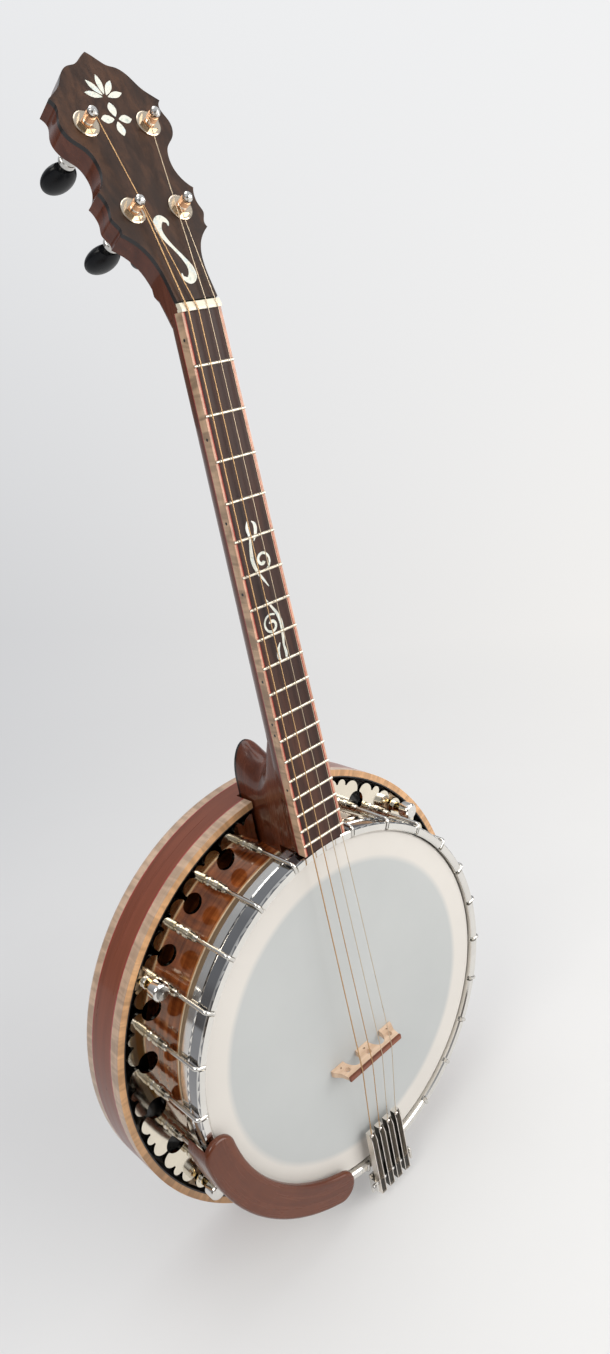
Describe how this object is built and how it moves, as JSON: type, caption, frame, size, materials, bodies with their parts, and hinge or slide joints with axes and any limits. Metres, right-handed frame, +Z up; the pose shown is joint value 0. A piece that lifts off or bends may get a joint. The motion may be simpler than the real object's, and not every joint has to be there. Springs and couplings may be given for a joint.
{
  "type": "tenor banjo",
  "caption": "Four-string resonator tenor banjo with hooked skin, flange, armrest, planetary tuners and fingered tailpiece.",
  "frame": {"origin": "centre of the resonator's flat back, on its outer face", "axes": "+Z up the neck along the pot's diameter, +Y out of the back, away from the skin, +X to the right of someone who faces the skin"},
  "size_m": [0.3512, 0.1291, 0.8322],
  "materials": {
    "armrest_wood": "gloss lacquer",
    "black_dot": "gloss",
    "black_knob": "gloss",
    "black_veneer": "gloss lacquer",
    "bone": "polished",
    "cap_wood": "satin",
    "curly_maple": "gloss lacquer",
    "gold": "polished gold plate",
    "mahogany": "gloss lacquer",
    "maple": "satin",
    "nickel": "mirror polished nickel",
    "nickel_silver": "polished",
    "red_veneer": "gloss lacquer",
    "rosewood": "satin",
    "skin": "satin",
    "steel": "satin",
    "string_bronze": "wound bronze",
    "string_steel": "polished",
    "tone_brass": "satin"
  },
  "bodies": {
    "pot_and_neck": {"rim": "mahogany", "rim_cap_line": "maple", "tone_ring": "tone_brass", "head": "skin", "flesh_hoop": "steel", "tension_hoop": "nickel", "bracket_hooks": "nickel", "hook_ferrules": "nickel", "bracket_nuts": "nickel", "flange": "nickel", "coordinator_rods": "steel", "coordinator_nuts": "steel", "tailpiece_bracket": "nickel", "tailpiece_pivot_rod": "steel", "armrest": "armrest_wood", "armrest_clamps": "nickel", "armrest_screws": "steel", "bridge": "maple", "bridge_cap": "cap_wood", "neck": "mahogany", "heel_cap": "black_veneer", "truss_rod": "steel", "fingerboard": "rosewood", "fingerboard_sides": "curly_maple", "neck_red_veneer": "red_veneer", "frets": "nickel_silver", "side_dots": "black_dot", "nut": "bone", "headstock_overlay": "rosewood", "headstock_veneer": "black_veneer", "tuner_washers": "gold", "tuner_bushings": "gold", "tuner_housings": "nickel", "string_1": "string_bronze", "string_2": "string_bronze", "string_3": "string_steel", "string_4": "string_steel"},
    "resonator": {"resonator_front_binding": "curly_maple", "resonator_wall": "mahogany", "resonator_back_binding": "curly_maple", "resonator_back_plate": "mahogany", "resonator_lugs": "maple"},
    "tuner_button_1_body": {"tuner_button_1": "black_knob"},
    "tuner_post_1_body": {"tuner_post_1": "nickel"},
    "thumbscrew_1_body": {"thumbscrew_1": "nickel"},
    "tailpiece_finger_1_body": {"tailpiece_finger_1": "nickel"},
    "tuner_button_2_body": {"tuner_button_2": "black_knob"},
    "tuner_post_2_body": {"tuner_post_2": "nickel"},
    "thumbscrew_2_body": {"thumbscrew_2": "nickel"},
    "tailpiece_finger_2_body": {"tailpiece_finger_2": "nickel"},
    "tuner_button_3_body": {"tuner_button_3": "black_knob"},
    "tuner_post_3_body": {"tuner_post_3": "nickel"},
    "thumbscrew_3_body": {"thumbscrew_3": "nickel"},
    "tailpiece_finger_3_body": {"tailpiece_finger_3": "nickel"},
    "tuner_button_4_body": {"tuner_button_4": "black_knob"},
    "tuner_post_4_body": {"tuner_post_4": "nickel"},
    "thumbscrew_4_body": {"thumbscrew_4": "nickel"},
    "tailpiece_finger_4_body": {"tailpiece_finger_4": "nickel"}
  },
  "joints": [
    {"name": "resonator_removal", "type": "slide", "parent": "pot_and_neck", "child": "resonator", "axis": [0, 1, 0], "range_m": [0, 0.1]},
    {"name": "tuner_button_1_turn", "type": "hinge", "parent": "pot_and_neck", "child": "tuner_button_1_body", "pos_m": [-0.0168, -0.03106, 0.553], "axis": [0, -0.9245, 0.3811], "continuous": true},
    {"name": "tuner_post_1_turn", "type": "hinge", "parent": "pot_and_neck", "child": "tuner_post_1_body", "pos_m": [-0.0168, -0.06065, 0.5652], "axis": [0, -0.9245, 0.3811], "continuous": true},
    {"name": "thumbscrew_1_turn", "type": "hinge", "parent": "pot_and_neck", "child": "thumbscrew_1_body", "pos_m": [0.12458, -0.045, 0.10088], "axis": [0, -1, 0], "continuous": true},
    {"name": "tailpiece_finger_1_tilt", "type": "hinge", "parent": "pot_and_neck", "child": "tailpiece_finger_1_body", "pos_m": [-0.01425, -0.1044, -0.158], "axis": [1, 0, 0], "range_deg": [-1.5, 1.5]},
    {"name": "tuner_button_2_turn", "type": "hinge", "parent": "pot_and_neck", "child": "tuner_button_2_body", "pos_m": [-0.0214, -0.01064, 0.60256], "axis": [0, -0.9245, 0.3811], "continuous": true},
    {"name": "tuner_post_2_turn", "type": "hinge", "parent": "pot_and_neck", "child": "tuner_post_2_body", "pos_m": [-0.0214, -0.04022, 0.61475], "axis": [0, -0.9245, 0.3811], "continuous": true},
    {"name": "thumbscrew_2_turn", "type": "hinge", "parent": "pot_and_neck", "child": "thumbscrew_2_body", "pos_m": [0.13234, -0.045, -0.09046], "axis": [0, -1, 0], "continuous": true},
    {"name": "tailpiece_finger_2_tilt", "type": "hinge", "parent": "pot_and_neck", "child": "tailpiece_finger_2_body", "pos_m": [-0.00475, -0.1044, -0.158], "axis": [1, 0, 0], "range_deg": [-1.5, 1.5]},
    {"name": "tuner_button_3_turn", "type": "hinge", "parent": "pot_and_neck", "child": "tuner_button_3_body", "pos_m": [0.0214, -0.01064, 0.60256], "axis": [0, -0.9245, 0.3811], "continuous": true},
    {"name": "tuner_post_3_turn", "type": "hinge", "parent": "pot_and_neck", "child": "tuner_post_3_body", "pos_m": [0.0214, -0.04022, 0.61475], "axis": [0, -0.9245, 0.3811], "continuous": true},
    {"name": "thumbscrew_3_turn", "type": "hinge", "parent": "pot_and_neck", "child": "thumbscrew_3_body", "pos_m": [-0.13234, -0.045, -0.09046], "axis": [0, -1, 0], "continuous": true},
    {"name": "tailpiece_finger_3_tilt", "type": "hinge", "parent": "pot_and_neck", "child": "tailpiece_finger_3_body", "pos_m": [0.00475, -0.1044, -0.158], "axis": [1, 0, 0], "range_deg": [-1.5, 1.5]},
    {"name": "tuner_button_4_turn", "type": "hinge", "parent": "pot_and_neck", "child": "tuner_button_4_body", "pos_m": [0.0168, -0.03106, 0.553], "axis": [0, -0.9245, 0.3811], "continuous": true},
    {"name": "tuner_post_4_turn", "type": "hinge", "parent": "pot_and_neck", "child": "tuner_post_4_body", "pos_m": [0.0168, -0.06065, 0.5652], "axis": [0, -0.9245, 0.3811], "continuous": true},
    {"name": "thumbscrew_4_turn", "type": "hinge", "parent": "pot_and_neck", "child": "thumbscrew_4_body", "pos_m": [-0.13237, -0.045, 0.09165], "axis": [0, -1, 0], "continuous": true},
    {"name": "tailpiece_finger_4_tilt", "type": "hinge", "parent": "pot_and_neck", "child": "tailpiece_finger_4_body", "pos_m": [0.01425, -0.1044, -0.158], "axis": [1, 0, 0], "range_deg": [-1.5, 1.5]}
  ],
  "couplings": [
    {"joint": "tuner_post_1_turn", "follows": "tuner_button_1_turn", "ratio": 0.25},
    {"joint": "tuner_post_2_turn", "follows": "tuner_button_2_turn", "ratio": 0.25},
    {"joint": "tuner_post_3_turn", "follows": "tuner_button_3_turn", "ratio": 0.25},
    {"joint": "tuner_post_4_turn", "follows": "tuner_button_4_turn", "ratio": 0.25}
  ]
}
